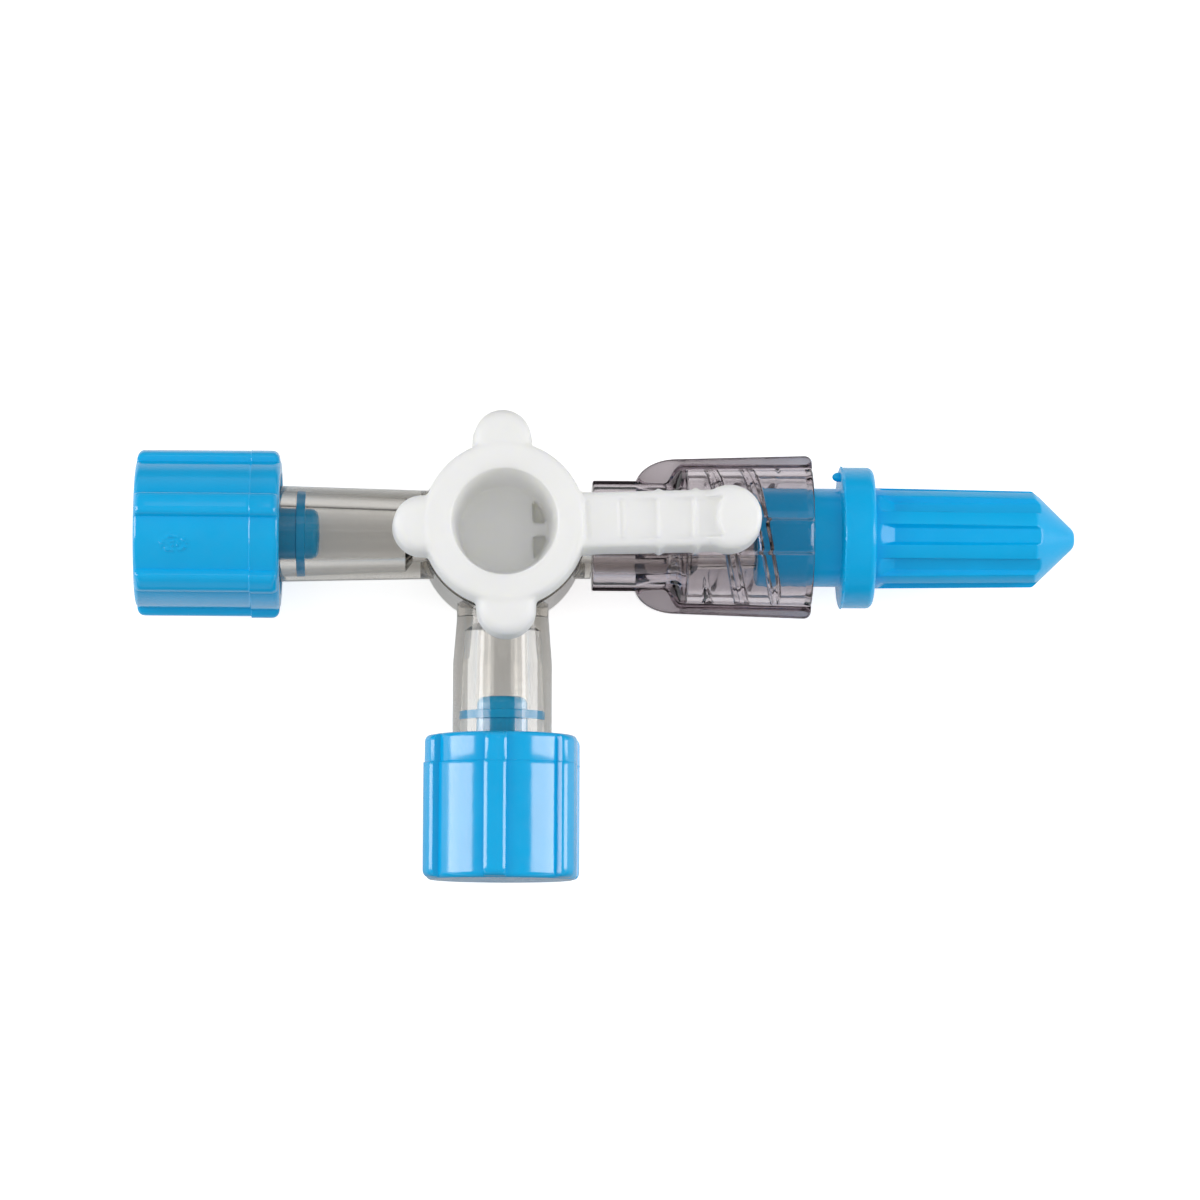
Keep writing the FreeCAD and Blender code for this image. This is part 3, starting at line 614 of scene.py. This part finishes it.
def stub_radius(past_rim):
    """Radius of a port cap's sealing stub, with its seal ring."""
    radius = MOUTH_BORE_R - LUER_SLOPE * max(0.0, CAP_OVERLAP - past_rim) - CAP_STUB_GAP
    start, end = (-depth for depth in CAP_SEAL_PAST_RIM)
    flank = CAP_SEAL_FLANK
    ring = smooth_step(past_rim, start - flank, start + flank)
    ring -= smooth_step(past_rim, end - flank, end + flank)
    return radius - round_in(past_rim + CAP_STUB_PAST_RIM, CAP_STUB_ROUND) + CAP_SEAL_PROUD * ring


def make_cap(name, rim, turn, arm, growth, shift, material):
    """Luer-lock cap: ribbed skirt with soft rib ends, closed end and stub with its seal ring."""
    turns = [360 * i / CAP_STEPS_AROUND for i in range(CAP_STEPS_AROUND)]
    rises = [rib_rise(degrees, turn) for degrees in turns]
    corner = [CAP_CREST_ROUND * share for share in (0, 0.02, 0.06, 0.12, 0.17, 0.25, 0.35, 0.5, 0.65, 0.85)]
    corner += [CAP_CREST_ROUND + CAP_CREST_MARGIN]
    parting = [CAP_PARTING + gap for gap in (-0.06, -0.04, -0.02, 0, 0.02, 0.04, 0.06)]
    outer = [CAP_LENGTH - gap for gap in corner]
    gate = CAP_GATE.get(name)
    step = CAP_GATE_STEP if gate else 0.4
    outer += steps_between(CAP_LENGTH - corner[-1] - 0.3, parting[-1] + 0.2, step)
    outer += list(reversed(parting)) + list(reversed(corner))
    rings = []
    for past_rim in outer:
        gap = min(past_rim, CAP_LENGTH - past_rim)
        radii = [skirt_radius(gap, past_rim, rise, growth) for rise in rises]
        if gate:
            radii = [radius + gate_height(past_rim, degrees, gate) for radius, degrees in zip(radii, turns)]
        aside = shift * before_parting(past_rim)
        ring = []
        for radius, degrees in zip(radii, turns):
            x, y, z = on_port(arm, rim + past_rim, radius, degrees)
            ring.append((x, y + aside, z) if arm == "-X" else (x + aside, y, z))
        rings.append(ring)
    floor = CAP_LENGTH - CAP_END_WALL
    seal_start, seal_end = (-depth for depth in CAP_SEAL_PAST_RIM)
    stub_end = -CAP_STUB_PAST_RIM
    along_stub = [floor] + steps_between(floor - 0.3, seal_end + 0.1, 0.5)
    along_stub += steps_between(seal_end + 0.05, seal_start - 0.05, CAP_SEAL_STEP)
    tip = (1.0, 0.8, 0.6, 0.42, 0.27, 0.15, 0.06, 0.0)
    along_stub += [stub_end + CAP_STUB_ROUND * share for share in tip]
    inner = [(0.0, CAP_INNER_R + CAP_MOUTH_CHAMFER), (CAP_MOUTH_CHAMFER, CAP_INNER_R), (floor, CAP_INNER_R)]
    inner += [(past_rim, stub_radius(past_rim)) for past_rim in along_stub]
    inner.append((stub_end, CAP_CORE_R + CAP_CORE_CHAMFER))
    inner.append((stub_end + CAP_CORE_CHAMFER, CAP_CORE_R))
    inner.append((stub_end + CAP_CORE_DEPTH, CAP_CORE_R))
    rings += [[on_port(arm, rim + past_rim, radius, t) for t in turns] for past_rim, radius in inner]
    cap = tube_mesh(name + "_skin", rings, joined=False)
    cap.data.materials.append(material)
    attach(cap, name)
    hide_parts(name)


def soft_min(a, b, width):
    """The lower of two values, with a rounded turn where they cross."""
    blend = max(0.0, width - abs(a - b)) / width
    return min(a, b) - blend * blend * width / 4


def grip_radius(x):
    """Radius of the guard cap's grip and cone between its flutes."""
    share = (x - FLANGE[1]) / (GRIP_END - FLANGE[1])
    grip = GRIP_R[0] + (GRIP_R[1] - GRIP_R[0]) * share
    cone = GRIP_R[1] + (GUARD_TIP_R - GRIP_R[1]) * (x - GRIP_END) / (GUARD_TIP - GRIP_END)
    return soft_min(grip, cone, CONE_BLEND) - round_in(GUARD_TIP - x, GUARD_TIP_ROUND)


def fluted_radius(x, degrees):
    """Radius of the guard cap's grip at one place, with its flutes."""
    off = abs((degrees - 90 - FLUTE_TURN + FLUTE_PITCH / 2) % FLUTE_PITCH - FLUTE_PITCH / 2)
    start, end = FLUTE_RUN_OUT
    run_out = min(1.0, max(0.0, (end - x) / (end - start)))
    floor = FLUTE_FLOOR_R + (GRIP_R[0] + FLUTE_RUN_OUT_RISE - FLUTE_FLOOR_R) * run_out
    floor /= math.cos(math.radians(min(off, FLUTE_FLANK[0])))
    flank = smooth_step(off, FLUTE_FLANK[0] + FLUTE_RUN_OUT_FLARE * run_out, FLUTE_FLANK[1])
    fluted = floor + (GRIP_R[0] + FLUTE_FLANK_TOP - floor) * flank
    return soft_min(grip_radius(x), fluted, FLUTE_BLEND)


def flash_height(degrees):
    """Uneven height of the moulding flash around the flange's rear edge, from 0 to 1."""
    turn = math.radians(degrees)
    waves = sum(size * math.sin(rate * turn + start) for rate, size, start in FLASH_WAVES)
    return min(1.0, max(0.0, 0.45 + 0.22 * waves))


def make_guard(material):
    """Guard cap: sleeve, finger flange with its moulding flash, fluted grip and cone."""
    turns = [360 * i / GUARD_STEPS_AROUND for i in range(GUARD_STEPS_AROUND)]
    rings = []
    tip = [GUARD_TIP - GUARD_TIP_ROUND * share for share in (0, 0.03, 0.1, 0.2, 0.35, 0.6, 1.0)]
    grip = steps_between(GUARD_TIP - 0.4, GRIP_END + 0.2, 0.08)
    grip += steps_between(GRIP_END + 0.15, GRIP_END - 0.2, 0.05)
    grip += steps_between(GRIP_END - 0.4, FLUTE_RUN_OUT[1] + 0.1, 0.5)
    grip += steps_between(FLUTE_RUN_OUT[1], FLANGE[1], 0.07)
    for x in tip + grip:
        rings.append([along_x(x, fluted_radius(x, t), t) for t in turns])
    profile = []
    for step in range(7):
        angle = math.radians(15 * step)
        profile.append((
            FLANGE[1] - FLANGE_FRONT_ROUND * (1 - math.cos(angle)),
            FLANGE_R - FLANGE_FRONT_ROUND * (1 - math.sin(angle))))
    profile.append((FLANGE[0] + 0.5, FLANGE_R))
    rings += [[along_x(x, radius, t) for t in turns] for x, radius in profile]
    flash = [flash_height(t) for t in turns]
    edge = FLANGE[0] + FLASH_EDGE
    back, out = FLASH_REACH
    crest = [(edge + 0.02 - back * rise, FLANGE_R + 0.02 + out * rise) for rise in flash]
    foot = [(edge - 0.03 - back * rise, FLANGE_R + 0.01) for rise in flash]
    rings.append([along_x(edge + 0.06, FLANGE_R, t) for t in turns])
    rings += [[along_x(x, radius, t) for t, (x, radius) in zip(turns, line)] for line in (crest, foot)]
    rings.append([along_x(FLANGE[0] + 0.03, FLANGE_R - 0.06, t) for t in turns])
    sleeve = [
        (FLANGE[0], FLANGE_R - 0.16),
        (FLANGE[0], GUARD_SLEEVE_R + 0.12),
        (FLANGE[0] - 0.04, GUARD_SLEEVE_R + 0.04),
        (FLANGE[0] - 0.12, GUARD_SLEEVE_R),
        (GUARD_START + GUARD_MOUTH_ROUND, GUARD_SLEEVE_R)]
    for share in (0.6, 0.3, 0.1, 0.0):
        gap = GUARD_MOUTH_ROUND * share
        sleeve.append((GUARD_START + gap, GUARD_SLEEVE_R - round_in(gap, GUARD_MOUTH_ROUND)))
    rings += [[along_x(x, radius, t) for t in turns] for x, radius in sleeve + list(GUARD_BORE)]
    guard = tube_mesh("guard_cap_skin", rings, joined=False)
    guard.data.materials.append(material)
    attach(guard, "guard")
    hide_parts("guard_cap")


def make_gate_nub(material):
    """Small nub that the moulding gate has left on the guard cap's flange."""
    shape = bmesh.new()
    bmesh.ops.create_uvsphere(shape, u_segments=24, v_segments=14, radius=GUARD_NUB_R * MM)
    for point in shape.verts:
        point.co.x *= GUARD_NUB_STRETCH
        point.co += Vector(GUARD_NUB_PLACE) * MM
    nub_mesh = bpy.data.meshes.new("gate_nub")
    shape.to_mesh(nub_mesh)
    shape.free()
    for face in nub_mesh.polygons:
        face.use_smooth = True
    nub = bpy.data.objects.new("gate_nub", nub_mesh)
    bpy.context.scene.collection.objects.link(nub)
    nub_mesh.materials.append(material)
    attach(nub, "guard")


def soften(node, grid_mm, rounds):
    """Soft moulded edges on a carried-over CAD node."""
    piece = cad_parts[node]
    remesh = piece.modifiers.new("even_grid", "REMESH")
    remesh.mode = "VOXEL"
    remesh.voxel_size = grid_mm * MM
    remesh.use_smooth_shade = True
    smooth = piece.modifiers.new("soft_edges", "SMOOTH")
    smooth.factor = 0.5
    smooth.iterations = rounds


def dress(node, material):
    """Give a carried-over CAD node its material."""
    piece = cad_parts[node]
    piece.data.materials.clear()
    piece.data.materials.append(material)


make_camera()
make_lamps()
make_world()
make_floor()
bpy.context.scene.view_settings.view_transform = "Standard"

clear_body = plastic(
    "clear_body", (0.96, 0.95, 0.935, 1), (0.93, 0.92, 0.905, 1), (0.02, 0.05), 0.004,
    {"Transmission Weight": 1.0, "IOR": 1.58},
    ((0.96, 0.955, 0.945, 1), (0.26, 0.20, 0.10, 1), 120.0))
clear_collar = plastic(
    "smoke_collar", (0.96, 0.93, 0.94, 1), (0.93, 0.90, 0.91, 1), (0.03, 0.07), 0.010,
    {"Transmission Weight": 1.0, "IOR": 1.58},
    ((0.96, 0.945, 0.95, 1), (0.26, 0.12, 0.20, 1), 170.0))
white = plastic(
    "white_tap", (0.87, 0.872, 0.86, 1), (0.85, 0.852, 0.84, 1), (0.40, 0.50), 0.01,
    {"IOR": 1.5, "Subsurface Weight": 0.7, "Subsurface Radius": (1.0, 1.0, 0.8), "Subsurface Scale": 0.003})
blue_cap = plastic(
    "blue_cap", srgb(0, 179, 240), srgb(0, 175, 236), (0.12, 0.18), 0.008,
    {"IOR": 1.55, "Specular IOR Level": 0.8, "Specular Tint": (1.0, 0.8, 0.7, 1)})
blue_guard = plastic(
    "blue_guard", srgb(0, 179, 240), srgb(0, 175, 236), (0.18, 0.24), 0.008,
    {"IOR": 1.5, "Specular IOR Level": 0.4, "Specular Tint": (1.0, 0.8, 0.7, 1)})

dress("valve_body", clear_body)
dress("tap", white)
make_collar(clear_collar)
make_guard(blue_guard)
make_gate_nub(blue_guard)
for port_cap in PORT_CAPS:
    make_cap(*port_cap, blue_cap)
soften("tap", *TAP_SOFTNESS)
